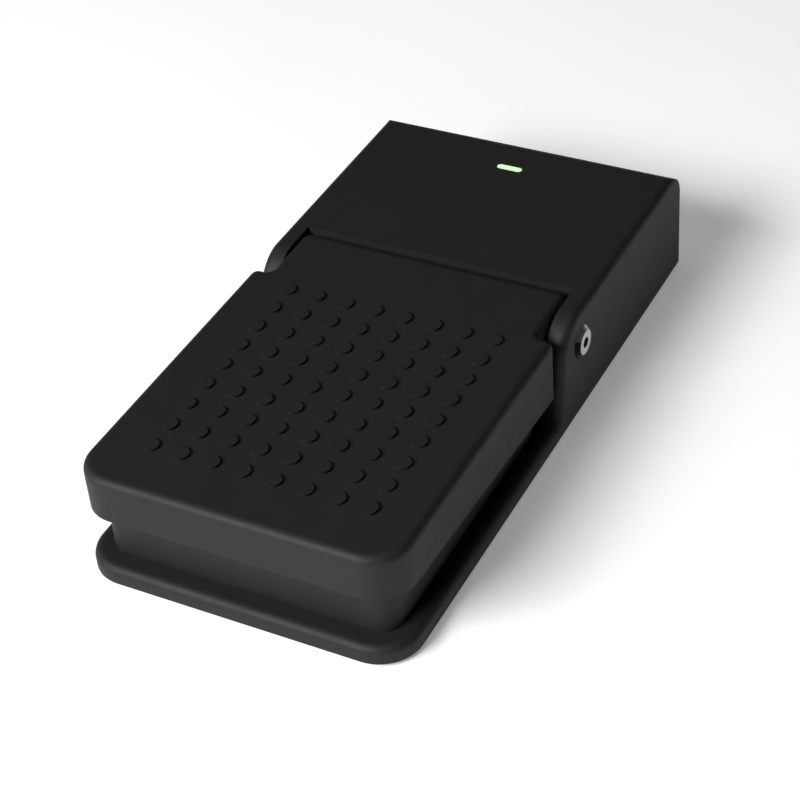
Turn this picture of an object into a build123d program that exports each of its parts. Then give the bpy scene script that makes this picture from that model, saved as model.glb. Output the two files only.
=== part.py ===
"""Sustain foot pedal: a one-piece base with a hinged treadle, its switch, springs and electronics.

Frame: +X to the player's right, +Y from the toe end to the rear panel, +Z up, origin on the floor
under the middle of the pedal. Millimetres.
"""

import os

from build123d import *

# ---------------------------------------------------------------- driving dimensions
BODY_W = 79.0  # across the base and housing
BODY_L = 156.0  # toe edge to rear panel
SOLE = 1.0  # rubber sole below the body's rim
PLATE_TOP = 5.2  # top of the base plate
HOUSING_TOP = 28.6
WALL = 2.4
EDGE_R = 2.0  # fillet round the body's upper edges
TOE_CORNER_R = 9.7  # plan radius of the toe corners
REAR_TOP_R = 6.5  # profile radius where the top meets the rear panel
EAR_TOP_R = 9.8  # profile radius over the hinge ears
EAR_FOOT_R = 2.5  # concave radius where an ear meets the base plate
EAR_FOOT_Y = 2.6
EAR_HEAD_Y = 6.7  # where the ear's front line would meet the top
EAR_IN_X = 34.7  # inner face of each ear
LIP_Y = 22.75  # front edge of the housing's top
BULKHEAD_Y = 25.3  # front of the wall behind the treadle's heel
PIVOT_Y, PIVOT_Z = 15.9, 19.7

BLOCK_X, BLOCK_FRONT, BLOCK_BACK = 35.1, -72.5, 0.3  # raised block under the treadle
BLOCK_TOP = 15.8
BLOCK_R = 4.6

TREADLE_X = 38.6  # half width of the treadle
TREADLE_TOP = 29.0
TREADLE_FRONT = -76.5
STEP_Y, STEP_R, NOTCH_R = 3.2, 2.1, 1.6  # end of the wide part, its corners, and the notch beside the tongue
SKIN = 2.4  # thickness of the treadle's top
SKIRT = 1.6  # thickness of its skirt
SKIRT_FRONT_Z, SKIRT_BACK_Z = 17.9, 13.2  # lower edge of the skirt, toe and step
TREADLE_CORNER_R = 8.8
STEP_IN_Y = 1.1  # inner face of the wall at the step
TONGUE_X = 34.2
TONGUE_BACK = 22.0
NOSE_R = 8.9  # heel surface, centred on the pivot
TONGUE_R = 3.8  # profile radius where the tongue turns down behind
CHEEK = 4.0  # tongue side walls, which carry the bushes
HEEL_X, HEEL_Z = 24.0, 10.0  # block that meets the upward stop

STUD_PITCH = 7.5
STUD_COLUMNS, STUD_ROWS = 8, 9
STUD_MID_Y = -32.45
STUD_R, STUD_H = 1.95, 0.6

PIN_R = 2.5  # pivot bolt journal
BUSH_R, FLANGE_R, FLANGE_X = 3.6, 5.0, 33.6  # nylon bush, its flange, and the flange's inner face
BOLT_HEAD_R, BOLT_PROUD = 4.0, 1.0
RUNNING_GAP = 0.05

COVER_SCREWS = [(side * x, y) for x, y in ((32.0, 33.5), (32.0, 69.0), (27.5, -64.0), (27.5, -10.0))
                for side in (-1, 1)]
BOSS_R, SCREW_R = 3.2, 1.5
BOARD_POSTS = [(side * 30.0, y) for y in (36.0, 63.0) for side in (-1, 1)]
SWITCH_POSTS = [(-10.5, -9.0), (10.5, -9.0)]

SPRING_X, SPRING_Y, SPRING_R, WIRE_R = 20.0, -14.0, 4.0, 0.5
SPRING_SEAT_Z = BLOCK_TOP - 1.0
BUMPER_X, BUMPER_Y, BUMPER_R, BUMPER_TOP = 20.0, -56.0, 5.0, 18.4
PLUNGER_Y, PLUNGER_R, PLUNGER_TOP = -9.0, 1.8, 19.5
PLUNGER_LOW = 12.2

BOARD_Z, BOARD_T = 20.0, 1.6  # underside and thickness of the main board
JACK_X, JACK_Z = 20.0, 12.0
JACK_BORE_R, JACK_BUSH_R = 3.2, 4.6
USB_X, SLIDER_X, PORT_Z = -22.0, -4.0, 18.3
SLIDE_TRAVEL = 2.5
LED_Y, LED_L, LED_W = 63.7, 6.6, 1.9

HALF_W, HALF_L = BODY_W / 2, BODY_L / 2
UNDERSIDE = TREADLE_TOP - SKIN
COVER_Z = SOLE + 1.6  # ceiling of the recess that takes the bottom cover
ROOF = HOUSING_TOP - WALL
PANEL_Y = HALF_L - WALL  # inner face of the rear panel
BAY_Y = BULKHEAD_Y + WALL  # front of the electronics bay
JACK_SEAT_Y = HALF_L - 2.6  # floor of the round recess for the jack's nut
JACK_PAD_Y = JACK_SEAT_Y - 2.2
WELL_Y = BLOCK_BACK  # front of the well under the tongue


def slab(x, y, z, mode=Mode.ADD):
    """A box from (low, high) pairs along each axis."""
    with Locations(((x[0] + x[1]) / 2, (y[0] + y[1]) / 2, (z[0] + z[1]) / 2)):
        return Box(x[1] - x[0], y[1] - y[0], z[1] - z[0], mode=mode)


def posts(points, radius, z, mode=Mode.ADD):
    """Upright cylinders at plan points, from z[0] to z[1]."""
    with Locations(*[(x, y, (z[0] + z[1]) / 2) for x, y in points]):
        return Cylinder(radius, z[1] - z[0], mode=mode)


def save(name, shape):
    """Label one sub-part and write it."""
    shape.label = name
    export_step(shape, f"parts/{name}.step")


os.makedirs("parts", exist_ok=True)

# ---------------------------------------------------------------- base housing: outside
with BuildPart() as base_housing:
    with BuildSketch(Plane.YZ):
        with BuildLine():
            Polyline(
                (HALF_L + 10, SOLE), (HALF_L + 10, HOUSING_TOP), (EAR_HEAD_Y, HOUSING_TOP),
                (EAR_FOOT_Y, PLATE_TOP), (-HALF_L, PLATE_TOP), (-HALF_L, SOLE), close=True,
            )
        make_face()
        for corner, radius in (
            ((EAR_HEAD_Y, HOUSING_TOP), EAR_TOP_R),
            ((EAR_FOOT_Y, PLATE_TOP), EAR_FOOT_R),
        ):
            fillet(vertices().sort_by_distance(corner)[0], radius)
    extrude(amount=HALF_W, both=True)
    fillet(edges().filter_by(Axis.Z).group_by(Axis.Y)[0], TOE_CORNER_R)
    upper = edges().filter_by(lambda e: e.bounding_box().min.Z > SOLE + 0.1)
    fillet(
        upper.filter_by(lambda e: abs(e.center().X) > HALF_W - 0.1 or e.center().Y < TOE_CORNER_R - HALF_L),
        EDGE_R,
    )
    with BuildSketch(Plane.YZ):
        with Locations((0, HOUSING_TOP / 2)):
            Rectangle(BODY_L, HOUSING_TOP)
        fillet(vertices().sort_by_distance((HALF_L, HOUSING_TOP))[0], REAR_TOP_R)
    extrude(amount=HALF_W + 1, both=True, mode=Mode.INTERSECT)

    # well between the ears for the treadle's tongue, and the open space above the plate ahead of it
    slab((-EAR_IN_X, EAR_IN_X), (WELL_Y, LIP_Y), (PLATE_TOP, HOUSING_TOP + 1), Mode.SUBTRACT)
    slab((-EAR_IN_X, EAR_IN_X), (WELL_Y, BULKHEAD_Y), (PLATE_TOP, ROOF), Mode.SUBTRACT)

    # raised block under the treadle
    with BuildSketch(Plane.XY.offset(PLATE_TOP)):
        with Locations((0, (BLOCK_FRONT + BLOCK_BACK) / 2)):
            RectangleRounded(2 * BLOCK_X, BLOCK_BACK - BLOCK_FRONT, BLOCK_R)
    extrude(amount=BLOCK_TOP - PLATE_TOP)

    # recess for the bottom cover, then the hollows above it
    with BuildSketch(Plane.XY.offset(SOLE)):
        RectangleRounded(BODY_W - 2 * WALL, BODY_L - 2 * WALL, TOE_CORNER_R - WALL)
    extrude(amount=COVER_Z - SOLE, mode=Mode.SUBTRACT)
    slab((WALL - BLOCK_X, BLOCK_X - WALL), (BLOCK_FRONT + WALL, BLOCK_BACK - WALL),
         (COVER_Z, BLOCK_TOP - WALL), Mode.SUBTRACT)
    slab((WALL - HALF_W, HALF_W - WALL), (BAY_Y, PANEL_Y), (COVER_Z, ROOF), Mode.SUBTRACT)
    slab((-8, 8), (BLOCK_BACK - WALL - 1, BAY_Y + 1), (COVER_Z, COVER_Z + 1.4), Mode.SUBTRACT)

    # screw bosses, board posts and the ledge for the upward stop
    posts(COVER_SCREWS[:4], BOSS_R, (COVER_Z, 13.0))
    for side in (-1, 1):
        for y in (33.5, 69.0):
            slab(sorted((side * 34.0, side * (HALF_W - WALL))), (y - 1, y + 1), (COVER_Z, 13.0))
    posts(COVER_SCREWS[4:], BOSS_R, (COVER_Z, BLOCK_TOP - WALL))
    posts(COVER_SCREWS, SCREW_R + RUNNING_GAP, (COVER_Z, 9.0), Mode.SUBTRACT)
    posts(BOARD_POSTS, BOSS_R, (BOARD_Z + BOARD_T, ROOF))
    posts(BOARD_POSTS, SCREW_R + RUNNING_GAP, (BOARD_Z, ROOF - 0.6), Mode.SUBTRACT)
    posts(SWITCH_POSTS, 2.2, (6.9, BLOCK_TOP - WALL))
    posts(SWITCH_POSTS, 1.05, (6.9, BLOCK_TOP - WALL - 0.5), Mode.SUBTRACT)
    slab((-HEEL_X, HEEL_X), (17.0, BULKHEAD_Y), (PLATE_TOP, 7.7))

    # spring seats and the plunger's hole in the block's top
    posts([(-SPRING_X, SPRING_Y), (SPRING_X, SPRING_Y)], SPRING_R + 0.9, (SPRING_SEAT_Z, BLOCK_TOP),
          Mode.SUBTRACT)
    posts([(0, PLUNGER_Y)], PLUNGER_R + 0.35, (BLOCK_TOP - WALL, BLOCK_TOP), Mode.SUBTRACT)

    # rear panel: thickened jack seat, its recess, and the openings
    with BuildSketch(Plane.XZ.offset(-JACK_PAD_Y)):
        with Locations((JACK_X, JACK_Z)):
            Circle(9.0)
    extrude(amount=-(PANEL_Y - JACK_PAD_Y))
    with BuildSketch(Plane.XZ.offset(-HALF_L)):
        with Locations((JACK_X, JACK_Z)):
            Circle(7.6)
    extrude(amount=HALF_L - JACK_SEAT_Y, mode=Mode.SUBTRACT)
    with BuildSketch(Plane.XZ.offset(-HALF_L)):
        with Locations((JACK_X, JACK_Z)):
            Circle(JACK_BUSH_R + 0.1)
        with Locations((USB_X, PORT_Z)):
            RectangleRounded(9.6, 3.9, 1.6)
        with Locations((SLIDER_X, PORT_Z)):
            RectangleRounded(SLIDE_TRAVEL + 4.6, 2.8, 0.6)
    extrude(amount=8, mode=Mode.SUBTRACT)

    # light pipe window
    with BuildSketch(Plane.XY.offset(ROOF)):
        with Locations((0, LED_Y)):
            SlotOverall(LED_L + 0.1, LED_W + 0.1)
    extrude(amount=WALL, mode=Mode.SUBTRACT)

    # counterbores and threads for the pivot bolts
    with BuildSketch(Plane.YZ.offset(-HALF_W)):
        with Locations((PIVOT_Y, PIVOT_Z)):
            Circle(3.0 + RUNNING_GAP)
    extrude(amount=BODY_W, mode=Mode.SUBTRACT)
    for side in (-1, 1):
        with BuildSketch(Plane.YZ.offset(side * HALF_W)):
            with Locations((PIVOT_Y, PIVOT_Z)):
                Circle(BOLT_HEAD_R + 0.15)
        extrude(amount=-side * 1.2, mode=Mode.SUBTRACT)
save("base_housing", base_housing.part)

# ---------------------------------------------------------------- treadle
with BuildPart() as treadle:
    with BuildSketch(Plane.XY.offset(SKIRT_BACK_Z)):
        with Locations((0, (TREADLE_FRONT + STEP_Y) / 2)):
            Rectangle(2 * TREADLE_X, STEP_Y - TREADLE_FRONT)
        with Locations((0, (TONGUE_BACK - 5) / 2)):
            Rectangle(2 * TONGUE_X, TONGUE_BACK + 5)
        fillet(vertices().group_by(Axis.Y)[0], TREADLE_CORNER_R)
        fillet(vertices().filter_by(lambda v: abs(v.Y - STEP_Y) < 0.01 and abs(v.X) > TONGUE_X + 1), STEP_R)
        fillet(vertices().filter_by(lambda v: abs(v.Y - STEP_Y) < 0.01 and abs(v.X) < TONGUE_X + 1), NOTCH_R)
    extrude(amount=TREADLE_TOP - SKIRT_BACK_Z)
    fillet(edges().filter_by(Axis.X).group_by(Axis.Z)[-1].group_by(Axis.Y)[-1], TONGUE_R)
    rim = edges().group_by(Axis.Z)[-1].filter_by(lambda e: e.center().Y < TONGUE_BACK - TONGUE_R - 0.5)
    fillet(rim, EDGE_R)

    # heel surface, turned about the pivot so that it passes under the housing's lip
    with BuildSketch(Plane.YZ):
        with BuildLine():
            shelf = TREADLE_TOP - TONGUE_R
            shelf_y = PIVOT_Y + (NOSE_R**2 - (shelf - PIVOT_Z) ** 2) ** 0.5
            RadiusArc((shelf_y, shelf), (PIVOT_Y, PIVOT_Z - NOSE_R), NOSE_R)
            Polyline((PIVOT_Y, PIVOT_Z - NOSE_R), (PIVOT_Y - 6.7, PIVOT_Z - 5.9), (PIVOT_Y - 6.7, shelf),
                     (shelf_y, shelf))
        make_face()
    extrude(amount=TONGUE_X, both=True)

    # sloping lower edge of the skirt, and the leaning end face that swings past the ears
    with BuildSketch(Plane.YZ):
        with BuildLine():
            Polyline((TREADLE_FRONT - 1, 5), (TREADLE_FRONT - 1, SKIRT_FRONT_Z), (STEP_Y + 1, SKIRT_BACK_Z),
                     (STEP_Y + 1, 5), close=True)
        make_face()
    extrude(amount=TREADLE_X + 1, both=True, mode=Mode.SUBTRACT)
    for side in (-1, 1):
        with BuildSketch(Plane.YZ.offset(side * TONGUE_X)):
            with BuildLine():
                Polyline((STEP_Y, 22), (STEP_Y + 3, 22), (STEP_Y + 3, 12), (STEP_Y - 1.0, 12), close=True)
            make_face()
        extrude(amount=side * 6, mode=Mode.SUBTRACT)

    # hollow under the skin, with the tongue's cheeks and heel left solid
    with BuildSketch(Plane.XY.offset(5)):
        with Locations((0, (TREADLE_FRONT + SKIRT + STEP_IN_Y) / 2)):
            RectangleRounded(2 * (TREADLE_X - SKIRT), STEP_IN_Y - TREADLE_FRONT - SKIRT,
                             TREADLE_CORNER_R - SKIRT)
    extrude(amount=UNDERSIDE - 5, mode=Mode.SUBTRACT)
    slab((CHEEK - TONGUE_X, TONGUE_X - CHEEK), (-8, 19.8), (5, UNDERSIDE), Mode.SUBTRACT)
    slab((-HEEL_X, HEEL_X), (17.0, 23.2), (HEEL_Z, 14.5))
    slab((-HEEL_X, HEEL_X), (17.6, 20.0), (14.0, UNDERSIDE))

    # stiffening ribs, tapering towards the toe so that they clear the block
    for x in (-29.5, -11.0, 11.0, 29.5):
        with BuildSketch(Plane.YZ.offset(x - 0.8)):
            with BuildLine():
                Polyline((STEP_IN_Y + 0.3, UNDERSIDE + 0.2), (STEP_IN_Y + 0.3, 19.0), (-60, 25.2),
                         (-60, UNDERSIDE + 0.2), close=True)
            make_face()
        extrude(amount=1.6)
    posts([(0, PLUNGER_Y)], 2.5, (PLUNGER_TOP + 0.15, UNDERSIDE))

    with BuildSketch(Plane.YZ.offset(-TONGUE_X)):
        with Locations((PIVOT_Y, PIVOT_Z)):
            Circle(BUSH_R + RUNNING_GAP)
    extrude(amount=2 * TONGUE_X, mode=Mode.SUBTRACT)
    for side in (-1, 1):
        with BuildSketch(Plane.YZ.offset(side * (FLANGE_X - 0.03))):
            with Locations((PIVOT_Y, PIVOT_Z)):
                Circle(FLANGE_R + RUNNING_GAP)
        extrude(amount=side, mode=Mode.SUBTRACT)

    # grip studs
    with BuildSketch(Plane.XY.offset(TREADLE_TOP)):
        with Locations((0, STUD_MID_Y)):
            with GridLocations(STUD_PITCH, STUD_PITCH, STUD_COLUMNS, STUD_ROWS):
                Circle(STUD_R)
    extrude(amount=STUD_H)
save("treadle", treadle.part)

# ---------------------------------------------------------------- pivot bolts and bushes
for side, hand in ((-1, "left"), (1, "right")):
    face = side * (HALF_W + BOLT_PROUD)
    with BuildPart() as pivot_bolt:
        for radius, start, end in (
            (PIN_R, 29.9, EAR_IN_X + 0.1),
            (3.0, EAR_IN_X + 0.1, 38.3),
            (BOLT_HEAD_R, 38.35, HALF_W + BOLT_PROUD),
        ):
            with BuildSketch(Plane.YZ.offset(side * (start - 0.05))):
                with Locations((PIVOT_Y, PIVOT_Z)):
                    Circle(radius)
            extrude(amount=side * (end - start + 0.05))
        rim = edges().filter_by(GeomType.CIRCLE).filter_by(lambda e: abs(e.center().X - face) < 0.01)
        chamfer(rim, 1.0)
        with BuildSketch(Plane.YZ.offset(face)):
            with Locations((PIVOT_Y, PIVOT_Z)):
                RegularPolygon(1.45, 6)
        extrude(amount=-side * 1.8, mode=Mode.SUBTRACT)
    save(f"pivot_bolt_{hand}", pivot_bolt.part)

    with BuildPart() as pivot_bush:
        for radius, start, end in ((BUSH_R, TONGUE_X - CHEEK, FLANGE_X), (FLANGE_R, FLANGE_X, 34.6)):
            with BuildSketch(Plane.YZ.offset(side * start)):
                with Locations((PIVOT_Y, PIVOT_Z)):
                    Circle(radius)
                    Circle(PIN_R + RUNNING_GAP, mode=Mode.SUBTRACT)
            extrude(amount=side * (end - start))
    save(f"pivot_bush_{hand}", pivot_bush.part)

# ---------------------------------------------------------------- springs, stops and switch
for side, hand in ((-1, "left"), (1, "right")):
    with BuildPart() as return_spring:
        with BuildLine(Plane.XY.offset(SPRING_SEAT_Z + WIRE_R + 0.05)):
            coil = Helix(pitch=1.85, height=1.85 * 5.6, radius=SPRING_R,
                         center=(side * SPRING_X, SPRING_Y, 0))
        with BuildSketch(Plane(origin=coil @ 0, z_dir=coil % 0)):
            Circle(WIRE_R)
        sweep(is_frenet=True)
    save(f"return_spring_{hand}", return_spring.part)

with BuildPart() as down_stop_bumpers:
    posts([(-BUMPER_X, BUMPER_Y), (BUMPER_X, BUMPER_Y)], BUMPER_R, (BLOCK_TOP, BUMPER_TOP))
    fillet(edges().group_by(Axis.Z)[-1], 1.2)
save("down_stop_bumpers", down_stop_bumpers.part)

with BuildPart() as up_stop_pad:
    slab((-18, 18), (17.6, 23.0), (7.7, HEEL_Z - 0.3))
save("up_stop_pad", up_stop_pad.part)

with BuildPart() as switch_body:
    slab((-6.4, 6.4), (PLUNGER_Y - 3.2, PLUNGER_Y + 3.2), (6.9, BLOCK_TOP - WALL))
    posts([(0, PLUNGER_Y)], PLUNGER_R + 0.3, (9.2, BLOCK_TOP), Mode.SUBTRACT)
save("switch_body", switch_body.part)

with BuildPart() as switch_plunger:
    posts([(0, PLUNGER_Y)], PLUNGER_R, (PLUNGER_LOW, PLUNGER_TOP))
    fillet(edges().group_by(Axis.Z)[-1], 1.0)
save("switch_plunger", switch_plunger.part)

with BuildPart() as switch_board:
    slab((-13, 13), (PLUNGER_Y - 4.0, PLUNGER_Y + 4.0), (5.6, 6.9))
    posts(SWITCH_POSTS, 1.1, (5, 7), Mode.SUBTRACT)
save("switch_board", switch_board.part)

with BuildPart() as switch_board_screws:
    posts(SWITCH_POSTS, 1.8, (4.4, 5.6))
    posts(SWITCH_POSTS, 1.0, (5.6, 12.0))
save("switch_board_screws", switch_board_screws.part)

# ---------------------------------------------------------------- electronics bay
with BuildPart() as main_board:
    slab((-35.5, 35.5), (BAY_Y + 0.8, 72.8), (BOARD_Z, BOARD_Z + BOARD_T))
    fillet(edges().filter_by(Axis.Z), 2.0)
    posts(BOARD_POSTS, SCREW_R + 0.1, (BOARD_Z, BOARD_Z + BOARD_T), Mode.SUBTRACT)
save("main_board", main_board.part)

with BuildPart() as board_screws:
    posts(BOARD_POSTS, 2.6, (BOARD_Z - 1.8, BOARD_Z))
    posts(BOARD_POSTS, SCREW_R, (BOARD_Z, ROOF - 1.0))
save("board_screws", board_screws.part)

with BuildPart() as board_chips:
    slab((-9, 1), (40, 50), (BOARD_Z + BOARD_T, BOARD_Z + BOARD_T + 1.2))
    slab((10, 17), (44, 49), (BOARD_Z + BOARD_T, BOARD_Z + BOARD_T + 1.4))
    slab((-20, -15), (54, 58), (BOARD_Z + BOARD_T, BOARD_Z + BOARD_T + 1.0))
save("board_chips", board_chips.part)

with BuildPart() as wire_header:
    slab((-8, 8), (33, 38), (BOARD_Z - 5.0, BOARD_Z))
save("wire_header", wire_header.part)

with BuildPart() as status_led:
    slab((-1.6, 1.6), (LED_Y - 0.8, LED_Y + 0.8), (BOARD_Z + BOARD_T, BOARD_Z + BOARD_T + 0.7))
save("status_led", status_led.part)

with BuildPart() as light_pipe:
    with BuildSketch(Plane.XY.offset(BOARD_Z + BOARD_T + 1.0)):
        with Locations((0, LED_Y)):
            SlotOverall(LED_L, LED_W)
    extrude(amount=HOUSING_TOP - 0.05 - (BOARD_Z + BOARD_T + 1.0))
    with BuildSketch(Plane.XY.offset(ROOF - 0.9)):
        with Locations((0, LED_Y)):
            SlotOverall(LED_L + 2.4, LED_W + 2.4)
    extrude(amount=0.85)
save("light_pipe", light_pipe.part)

# ---------------------------------------------------------------- rear panel fittings
with BuildPart() as jack_body:
    slab((JACK_X - 7, JACK_X + 7), (50.0, JACK_PAD_Y - 0.05), (JACK_Z - 7, JACK_Z + 7))
    with BuildSketch(Plane.XZ.offset(-(JACK_PAD_Y - 0.1))):
        with Locations((JACK_X, JACK_Z)):
            Circle(JACK_BUSH_R)
    extrude(amount=-(HALF_L - 0.2 - JACK_PAD_Y + 0.1))
    with BuildSketch(Plane.XZ.offset(-54.0)):
        with Locations((JACK_X, JACK_Z)):
            Circle(JACK_BORE_R)
    extrude(amount=-(HALF_L - 54.0), mode=Mode.SUBTRACT)
save("jack_body", jack_body.part)

with BuildPart() as jack_washer:
    with BuildSketch(Plane.XZ.offset(-JACK_SEAT_Y)):
        with Locations((JACK_X, JACK_Z)):
            Circle(7.1)
            Circle(JACK_BUSH_R + 0.1, mode=Mode.SUBTRACT)
    extrude(amount=-0.5)
save("jack_washer", jack_washer.part)

with BuildPart() as jack_nut:
    with BuildSketch(Plane.XZ.offset(-(JACK_SEAT_Y + 0.5))):
        with Locations((JACK_X, JACK_Z)):
            RegularPolygon(6.7, 6)
            Circle(JACK_BUSH_R + 0.05, mode=Mode.SUBTRACT)
    extrude(amount=-1.7)
save("jack_nut", jack_nut.part)

with BuildPart() as jack_tabs:
    for y in (54.0, 60.0, 66.0):
        slab((JACK_X - 0.7, JACK_X + 0.7), (y - 0.25, y + 0.25), (JACK_Z + 7, BOARD_Z))
save("jack_tabs", jack_tabs.part)

with BuildPart() as usb_shell:
    with BuildSketch(Plane.XZ.offset(-70.3)):
        with Locations((USB_X, PORT_Z)):
            RectangleRounded(8.94, 3.26, 1.3)
    extrude(amount=-7.3)
    with BuildSketch(Plane.XZ.offset(-71.3)):
        with Locations((USB_X, PORT_Z)):
            RectangleRounded(8.34, 2.66, 1.0)
    extrude(amount=-6.3, mode=Mode.SUBTRACT)
save("usb_shell", usb_shell.part)

with BuildPart() as usb_tongue:
    slab((USB_X - 3.35, USB_X + 3.35), (71.3, 76.6), (PORT_Z - 0.35, PORT_Z + 0.35))
save("usb_tongue", usb_tongue.part)

knob_x = SLIDER_X - SLIDE_TRAVEL / 2
with BuildPart() as power_switch_body:
    slab((SLIDER_X - 5.5, SLIDER_X + 5.5), (69.2, 73.2), (PORT_Z - 1.9, BOARD_Z))
save("power_switch_body", power_switch_body.part)

with BuildPart() as power_switch_knob:
    slab((knob_x - 2.8, knob_x + 2.8), (73.5, 75.2), (PORT_Z - 1.6, PORT_Z + 1.5))
    slab((knob_x - 1.9, knob_x + 1.9), (75.2, 77.7), (PORT_Z - 1.0, PORT_Z + 1.0))
    for step in (-1, 0, 1):
        slab((knob_x + step - 0.2, knob_x + step + 0.2), (77.4, 77.8), (PORT_Z - 1.0, PORT_Z + 1.0),
             Mode.SUBTRACT)
save("power_switch_knob", power_switch_knob.part)

# ---------------------------------------------------------------- battery and wiring
with BuildPart() as battery_pad:
    slab((-20, 20), (-58, -26), (COVER_Z - 0.05, 4.4))
save("battery_pad", battery_pad.part)

with BuildPart() as battery:
    slab((-22, 22), (-60, -24), (4.4, 11.4))
    fillet(edges().filter_by(Axis.Y), 2.5)
save("battery", battery.part)


def leads(name, columns, start):
    """Round wires from a start point, through the floor channel, up to the header."""
    with BuildPart() as wiring:
        for x in columns:
            with BuildLine():
                Polyline((x, *start[0]), (x, *start[1]), (x, 29.5, 3.3), (x, 35.5, 8.0),
                         (x, 35.5, BOARD_Z - 5.0))
            with BuildSketch(Plane(origin=(x, *start[0]), z_dir=(
                    0, start[1][0] - start[0][0], start[1][1] - start[0][1]))):
                Circle(0.5)
            sweep(transition=Transition.ROUND)
    save(name, wiring.part)


leads("battery_leads", (3.0, 5.5), ((-23.5, 8.0), (-20.5, 3.3)))
leads("switch_leads", (-3.0, -5.5), ((-11.5, 5.1), (-9.0, 3.3)))

# ---------------------------------------------------------------- underside
with BuildPart() as bottom_cover:
    with BuildSketch(Plane.XY.offset(SOLE)):
        RectangleRounded(BODY_W - 2 * WALL - 0.2, BODY_L - 2 * WALL - 0.2, TOE_CORNER_R - WALL)
        with Locations(*COVER_SCREWS):
            Circle(SCREW_R + 0.1, mode=Mode.SUBTRACT)
    extrude(amount=COVER_Z - SOLE - 0.05)
    for x, y in COVER_SCREWS:
        with Locations((x, y, SOLE + 0.65)):
            Cone(3.0, SCREW_R + 0.1, 1.3, mode=Mode.SUBTRACT)
save("bottom_cover", bottom_cover.part)

with BuildPart() as cover_screws:
    posts(COVER_SCREWS, SCREW_R, (SOLE + 1.2, 8.6))
    for x, y in COVER_SCREWS:
        with Locations((x, y, SOLE + 0.75)):
            Cone(2.7, SCREW_R - 0.05, 1.3)
save("cover_screws", cover_screws.part)

with BuildPart() as sole_pad:
    with BuildSketch(Plane.XY):
        RectangleRounded(BODY_W - 3.0, BODY_L - 3.0, TOE_CORNER_R - 1.5)
        with Locations(*COVER_SCREWS):
            Circle(3.6, mode=Mode.SUBTRACT)
    extrude(amount=SOLE)
save("sole_pad", sole_pad.part)
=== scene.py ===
import math

import bpy
from mathutils import Matrix, Vector


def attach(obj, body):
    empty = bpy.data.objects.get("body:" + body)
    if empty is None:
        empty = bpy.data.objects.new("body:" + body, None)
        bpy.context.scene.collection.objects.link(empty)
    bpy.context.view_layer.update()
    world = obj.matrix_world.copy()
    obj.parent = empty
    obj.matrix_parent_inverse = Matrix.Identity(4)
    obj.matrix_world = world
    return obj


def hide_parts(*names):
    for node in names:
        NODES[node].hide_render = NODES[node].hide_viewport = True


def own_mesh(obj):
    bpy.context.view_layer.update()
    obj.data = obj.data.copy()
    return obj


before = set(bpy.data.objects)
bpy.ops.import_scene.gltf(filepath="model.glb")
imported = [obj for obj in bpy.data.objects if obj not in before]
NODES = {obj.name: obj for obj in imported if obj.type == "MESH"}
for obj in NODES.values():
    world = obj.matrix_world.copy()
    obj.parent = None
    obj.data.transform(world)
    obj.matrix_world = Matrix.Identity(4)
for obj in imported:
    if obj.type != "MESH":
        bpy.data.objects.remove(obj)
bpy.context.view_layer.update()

MM = 0.001
PIVOT = Vector((0.0, 0.0159, 0.0197))  # on the treadle's hinge axis

# return springs, millimetres
SPRING_X, SPRING_Y = 20.0, -14.0
SPRING_LOW, SPRING_HIGH = 15.35, 26.1  # wire centres at the two ends
COIL_R, WIRE_R = 4.0, 0.5
TURNS, STEPS_PER_TURN = 7.0, 24
CLOSED_PITCH = 0.25  # pitch of the end turns, as a share of an open turn's

FLOOR_REACH = 6.0
LOOK_AT = Vector((0, 0, 0.02))
CAMERA_PLACE = (0.19201, -0.33401, 0.31270)
CAMERA_LENS, SENSOR = 94.53, 36.0

# hairline bevel widths, millimetres
HAIRLINES = {
    "base_housing": 0.18,
    "treadle": 0.12,
    "pivot_bolt_left": 0.08,
    "pivot_bolt_right": 0.08,
    "jack_nut": 0.15,
    "light_pipe": 0.12,
    "sole_pad": 0.2,
    "power_switch_knob": 0.12,
}


# ------------------------------------------------------------------ material helpers
def start(name):
    """A fresh material, its node tree, its shader and the object coordinates."""
    mat = bpy.data.materials.new(name)
    mat.use_nodes = True
    tree = mat.node_tree
    shader = tree.nodes["Principled BSDF"]
    where = tree.nodes.new("ShaderNodeTexCoord").outputs["Object"]
    return mat, tree, shader, where


def noise(tree, where, size_mm, detail=4.0, rough=0.55, stretch=None):
    """Noise with features about size_mm across; stretch scales the coordinates first."""
    node = tree.nodes.new("ShaderNodeTexNoise")
    node.inputs["Scale"].default_value = 1.0 / (size_mm * MM)
    node.inputs["Detail"].default_value = detail
    node.inputs["Roughness"].default_value = rough
    if stretch:
        mapping = tree.nodes.new("ShaderNodeMapping")
        mapping.inputs["Scale"].default_value = stretch
        tree.links.new(where, mapping.inputs["Vector"])
        where = mapping.outputs["Vector"]
    tree.links.new(where, node.inputs["Vector"])
    return node.outputs["Fac"]


def spread(tree, value, low, high, start_at=0.3, end_at=0.7):
    """Maps a noise value to low..high."""
    node = tree.nodes.new("ShaderNodeMapRange")
    node.inputs["From Min"].default_value = start_at
    node.inputs["From Max"].default_value = end_at
    node.inputs["To Min"].default_value = low
    node.inputs["To Max"].default_value = high
    tree.links.new(value, node.inputs["Value"])
    return node.outputs["Result"]


def ramp(tree, value, stops):
    """Colour ramp with (position, colour) stops."""
    node = tree.nodes.new("ShaderNodeValToRGB")
    elements = node.color_ramp.elements
    while len(elements) < len(stops):
        elements.new(0.5)
    for element, (position, colour) in zip(elements, stops):
        element.position = position
        element.color = (*colour, 1.0)
    tree.links.new(value, node.inputs["Fac"])
    return node.outputs["Color"]


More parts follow.
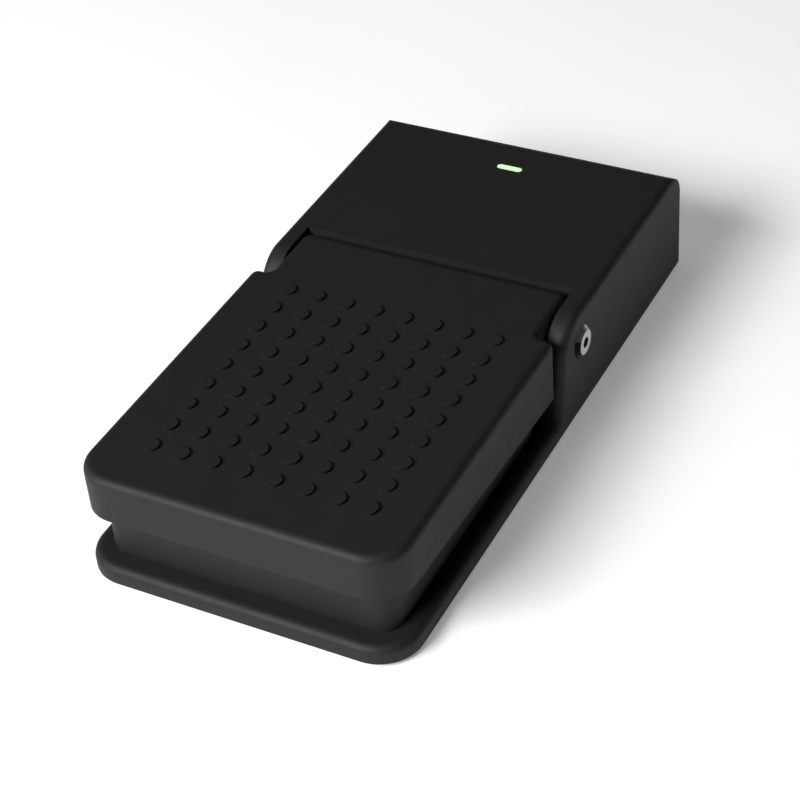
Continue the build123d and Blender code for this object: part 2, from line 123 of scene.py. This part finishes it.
def bump(tree, height, strength, depth_mm, under=None):
    """A bump of a given depth, on top of another if one is given."""
    node = tree.nodes.new("ShaderNodeBump")
    node.inputs["Strength"].default_value = strength
    node.inputs["Distance"].default_value = depth_mm * MM
    tree.links.new(height, node.inputs["Height"])
    if under:
        tree.links.new(under, node.inputs["Normal"])
    return node.outputs["Normal"]


def moulded(name, colour, grain_mm=0.35, grain_depth=0.03, rough=(0.46, 0.56), specular=0.5, mottle=0.12):
    """Moulded plastic or rubber: spark-eroded grain, faint mottling, and a few finer handling marks."""
    mat, tree, shader, where = start(name)
    clouds = noise(tree, where, 14.0, detail=3.0)
    grain = noise(tree, where, grain_mm, detail=3.0, rough=0.6)
    dark = tuple(c * (1 - mottle) for c in colour)
    light = tuple(c * (1 + mottle) for c in colour)
    tree.links.new(ramp(tree, clouds, [(0.35, dark), (0.65, light)]), shader.inputs["Base Color"])
    marks = noise(tree, where, 3.0, detail=6.0, rough=0.7)
    tree.links.new(spread(tree, marks, *rough), shader.inputs["Roughness"])
    tree.links.new(bump(tree, grain, 1.0, grain_depth), shader.inputs["Normal"])
    shader.inputs["Specular IOR Level"].default_value = specular
    return mat


def metal(name, colour, rough=(0.2, 0.34), stretch=None, line_mm=0.25, depth=0.004):
    """Bare or plated metal with fine tool marks and uneven gloss."""
    mat, tree, shader, where = start(name)
    shader.inputs["Metallic"].default_value = 1.0
    marks = noise(tree, where, line_mm, detail=3.0, stretch=stretch)
    clouds = noise(tree, where, 2.5, detail=4.0)
    dull = tuple(c * 0.82 for c in colour)
    tree.links.new(ramp(tree, clouds, [(0.3, dull), (0.7, colour)]), shader.inputs["Base Color"])
    tree.links.new(spread(tree, marks, *rough), shader.inputs["Roughness"])
    tree.links.new(bump(tree, marks, 0.6, depth), shader.inputs["Normal"])
    return mat


def painted_shade_mask(tree):
    """1 on the faced end and on the chamfer's upward-facing top, 0 on the rest of the chamfer: a painted
    shade and painted reflection standing in for the dark surroundings the chamfer reflects.
    """
    normal = tree.nodes.new("ShaderNodeTexCoord").outputs["Normal"]
    parts = tree.nodes.new("ShaderNodeSeparateXYZ")
    tree.links.new(normal, parts.inputs["Vector"])
    end_on = tree.nodes.new("ShaderNodeMath")
    end_on.operation = "ABSOLUTE"
    tree.links.new(parts.outputs["X"], end_on.inputs[0])
    either = tree.nodes.new("ShaderNodeMath")
    either.operation = "MAXIMUM"
    tree.links.new(spread(tree, end_on.outputs["Value"], 0.0, 1.0, 0.80, 0.92), either.inputs[0])
    tree.links.new(spread(tree, parts.outputs["Z"], 0.0, 1.0, 0.35, 0.60), either.inputs[1])
    return either.outputs["Value"]


def turned(name, colour):
    """Steel faced on a lathe: fine rings about the hinge axis, and a painted shade on the head's chamfer."""
    mat, tree, shader, where = start(name)
    shader.inputs["Metallic"].default_value = 1.0
    mapping = tree.nodes.new("ShaderNodeMapping")
    mapping.inputs["Location"].default_value = -PIVOT
    tree.links.new(where, mapping.inputs["Vector"])
    rings = tree.nodes.new("ShaderNodeTexWave")
    rings.wave_type = "RINGS"
    rings.rings_direction = "X"
    rings.inputs["Scale"].default_value = 1.0 / (3.2 * MM)
    rings.inputs["Distortion"].default_value = 0.6
    rings.inputs["Detail"].default_value = 2.0
    tree.links.new(mapping.outputs["Vector"], rings.inputs["Vector"])
    clouds = noise(tree, where, 1.2, detail=5.0)
    dull = tuple(c * 0.85 for c in colour)
    steel = ramp(tree, clouds, [(0.3, dull), (0.7, colour)])
    # painted shade: the chamfer is coloured near-black except where it faces up, standing in for a dark
    # reflection
    blend = tree.nodes.new("ShaderNodeMix")
    blend.data_type = "RGBA"
    blend.inputs["A"].default_value = (0.006, 0.006, 0.006, 1.0)
    tree.links.new(painted_shade_mask(tree), blend.inputs["Factor"])
    tree.links.new(steel, blend.inputs["B"])
    tree.links.new(blend.outputs["Result"], shader.inputs["Base Color"])
    tree.links.new(spread(tree, clouds, 0.30, 0.42), shader.inputs["Roughness"])
    tree.links.new(bump(tree, rings.outputs["Fac"], 0.5, 0.006), shader.inputs["Normal"])
    return mat


def glowing(name, colour, strength):
    """A diffusing light guide, faintly lit, with a cloudy tint."""
    mat, tree, shader, where = start(name)
    clouds = noise(tree, where, 1.5, detail=3.0)
    pale = tuple(min(1.0, c * 1.06) for c in colour)
    tint = ramp(tree, clouds, [(0.3, colour), (0.7, pale)])
    tree.links.new(tint, shader.inputs["Base Color"])
    tree.links.new(tint, shader.inputs["Emission Color"])
    shader.inputs["Emission Strength"].default_value = strength
    tree.links.new(spread(tree, clouds, 0.3, 0.42), shader.inputs["Roughness"])
    shader.inputs["Subsurface Weight"].default_value = 0.2
    shader.inputs["Subsurface Scale"].default_value = 0.6 * MM
    return mat


def circuit(name):
    """Solder mask with copper tracks showing faintly beneath it."""
    mat, tree, shader, where = start(name)
    bricks = tree.nodes.new("ShaderNodeTexBrick")
    bricks.inputs["Scale"].default_value = 1.0 / (9.0 * MM)
    bricks.inputs["Mortar Size"].default_value = 0.035
    bricks.inputs["Color1"].default_value = (0.015, 0.11, 0.045, 1)
    bricks.inputs["Color2"].default_value = (0.02, 0.14, 0.06, 1)
    bricks.inputs["Mortar"].default_value = (0.05, 0.24, 0.09, 1)
    tree.links.new(where, bricks.inputs["Vector"])
    tree.links.new(bricks.outputs["Color"], shader.inputs["Base Color"])
    weave = noise(tree, where, 0.5, detail=2.0)
    tree.links.new(spread(tree, weave, 0.28, 0.4), shader.inputs["Roughness"])
    tree.links.new(bump(tree, bricks.outputs["Fac"], 0.5, 0.03), shader.inputs["Normal"])
    return mat


def dress(mat, *names):
    """Gives a material to CAD nodes."""
    for name in names:
        obj = NODES[name]
        if not obj.material_slots:
            obj.data.materials.append(mat)
        for material_slot in obj.material_slots:
            material_slot.material = mat


# ------------------------------------------------------------------ finishes
shell = moulded("shell_black", (0.0118, 0.0118, 0.0116), grain_mm=0.28, grain_depth=0.016,
                rough=(0.58, 0.64), specular=0.29, mottle=0.03)
dress(shell, "base_housing", "treadle")
dress(turned("bolt_steel", (0.62, 0.60, 0.56)), "pivot_bolt_left", "pivot_bolt_right")
nylon = moulded("nylon", (0.62, 0.60, 0.54), grain_depth=0.006, rough=(0.36, 0.48), mottle=0.05)
dress(nylon, "pivot_bush_left", "pivot_bush_right", "switch_plunger", "wire_header")
rubber = moulded("soft_rubber", (0.022, 0.022, 0.022), grain_depth=0.03, rough=(0.72, 0.86), specular=0.35)
dress(rubber, "down_stop_bumpers", "up_stop_pad")
sole = moulded("sole_rubber", (0.02, 0.02, 0.02), grain_mm=0.6, grain_depth=0.05,
               rough=(0.78, 0.92), specular=0.3)
dress(sole, "sole_pad")
dress(moulded("dark_plastic", (0.02, 0.02, 0.021), grain_depth=0.012, rough=(0.38, 0.5)),
      "bottom_cover", "switch_body", "board_chips", "jack_body", "usb_tongue", "power_switch_knob")
dress(metal("nickel", (0.66, 0.64, 0.60), rough=(0.16, 0.28)),
      "jack_nut", "jack_washer", "usb_shell", "power_switch_body")
dress(metal("screw_steel", (0.5, 0.5, 0.5), rough=(0.28, 0.42)),
      "cover_screws", "board_screws", "switch_board_screws")
dress(metal("brass_tabs", (0.72, 0.55, 0.28)), "jack_tabs")
dress(circuit("circuit_board"), "main_board", "switch_board")
dress(glowing("light_pipe_green", (0.60, 0.86, 0.52), 0.37), "light_pipe")
dress(glowing("led_green", (0.70, 0.92, 0.62), 1.0), "status_led")
dress(moulded("foam", (0.07, 0.07, 0.075), grain_mm=0.5, grain_depth=0.12, rough=(0.85, 0.95), specular=0.2),
      "battery_pad")
dress(moulded("battery_wrap", (0.30, 0.31, 0.33), grain_depth=0.01, rough=(0.25, 0.38)), "battery")
dress(moulded("wire_red", (0.42, 0.025, 0.02), grain_depth=0.006, rough=(0.3, 0.42)), "battery_leads")
dress(moulded("wire_grey", (0.14, 0.14, 0.15), grain_depth=0.006, rough=(0.3, 0.42)), "switch_leads")

# a hairline radius on the mouldings' crisp edges, so that they catch the light
for name, width in HAIRLINES.items():
    edge = NODES[name].modifiers.new("crisp_edges", "BEVEL")
    edge.width = width * MM
    edge.segments = 2
    edge.limit_method = "ANGLE"
    edge.angle_limit = math.radians(40)
    edge.harden_normals = True


# ------------------------------------------------------------------ return springs
def coil(name, side, steel):
    """A compression spring with closed ends, swept along a helix."""
    centre = Vector((side * SPRING_X, SPRING_Y, 0.0)) * MM
    low, high = SPRING_LOW * MM, SPRING_HIGH * MM
    open_turns = TURNS - 2 + 2 * CLOSED_PITCH
    curve = bpy.data.curves.new(name, "CURVE")
    curve.dimensions = "3D"
    curve.bevel_depth = WIRE_R * MM
    curve.bevel_resolution = 3
    line = curve.splines.new("POLY")
    count = int(TURNS * STEPS_PER_TURN) + 1
    line.points.add(count - 1)
    for i in range(count):
        along = i / (count - 1)
        turn = along * TURNS
        climb = min(turn, 1.0) * CLOSED_PITCH + max(0.0, turn - 1.0)
        climb -= max(0.0, turn - (TURNS - 1)) * (1 - CLOSED_PITCH)
        angle = turn * 2 * math.pi
        line.points[i].co = (
            centre.x + COIL_R * MM * math.cos(angle),
            centre.y + COIL_R * MM * math.sin(angle),
            low + (high - low) * climb / open_turns,
            1.0,
        )
    raw = bpy.data.objects.new(name + "_line", curve)
    bpy.context.scene.collection.objects.link(raw)
    mesh = bpy.data.meshes.new_from_object(raw)
    bpy.data.objects.remove(raw)
    mesh.polygons.foreach_set("use_smooth", [True] * len(mesh.polygons))
    piece = bpy.data.objects.new(name, mesh)
    bpy.context.scene.collection.objects.link(piece)
    mesh.materials.clear()
    mesh.materials.append(steel)
    return piece


wire = metal("spring_wire", (0.55, 0.55, 0.56), rough=(0.2, 0.32), line_mm=0.4)
for hand, side in (("left", -1), ("right", 1)):
    spring = coil(f"coil_{hand}", side, wire)
    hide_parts(f"return_spring_{hand}")
    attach(spring, "base")
    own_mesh(spring)

# ------------------------------------------------------------------ floor, light and camera
bpy.context.scene.view_settings.view_transform = "Standard"
floor_mesh = bpy.data.meshes.new("floor")
corners = [(x * FLOOR_REACH, y * FLOOR_REACH, 0) for x, y in ((-1, -1), (1, -1), (1, 1), (-1, 1))]
floor_mesh.from_pydata(corners, [], [(0, 1, 2, 3)])
floor = bpy.data.objects.new("floor", floor_mesh)
bpy.context.scene.collection.objects.link(floor)
paper, tree, shader, where = start("paper")
tree.links.new(ramp(tree, noise(tree, where, 60.0), [(0.3, (0.90, 0.90, 0.90)), (0.7, (0.92, 0.92, 0.92))]),
               shader.inputs["Base Color"])
shader.inputs["Roughness"].default_value = 0.9
shader.inputs["Emission Color"].default_value = (1, 1, 1, 1)
shader.inputs["Emission Strength"].default_value = 0.235
floor_mesh.materials.append(paper)

world = bpy.data.worlds.new("studio")
bpy.context.scene.world = world
world.use_nodes = True
world.node_tree.nodes["Background"].inputs["Color"].default_value = (1, 1, 1, 1)
world.node_tree.nodes["Background"].inputs["Strength"].default_value = 0.02


def softbox(name, place, size, power):
    """A soft area light aimed at the pedal's middle."""
    lamp = bpy.data.lights.new(name, "AREA")
    lamp.shape = "RECTANGLE"
    lamp.size, lamp.size_y = size
    lamp.energy = power
    obj = bpy.data.objects.new(name, lamp)
    obj.location = place
    obj.rotation_euler = (LOOK_AT - Vector(place)).to_track_quat("-Z", "Y").to_euler()
    bpy.context.scene.collection.objects.link(obj)


softbox("key", (-0.50, -1.05, 0.80), (0.8, 0.5), 29.8)
softbox("top", (-0.1, 0.1, 1.3), (1.0, 1.0), 1.9)

camera_data = bpy.data.cameras.new("camera")
camera_data.lens = CAMERA_LENS
camera_data.sensor_width = SENSOR
camera = bpy.data.objects.new("camera", camera_data)
right = Vector((0.89070, 0.44939, -0.06854))
up = Vector((-0.23559, 0.58527, 0.77586))
back = Vector((0.38878, -0.67491, 0.62717))
turn = Matrix((right, up, back)).transposed().to_4x4()
camera.matrix_world = Matrix.Translation(CAMERA_PLACE) @ turn
bpy.context.scene.collection.objects.link(camera)
bpy.context.scene.camera = camera
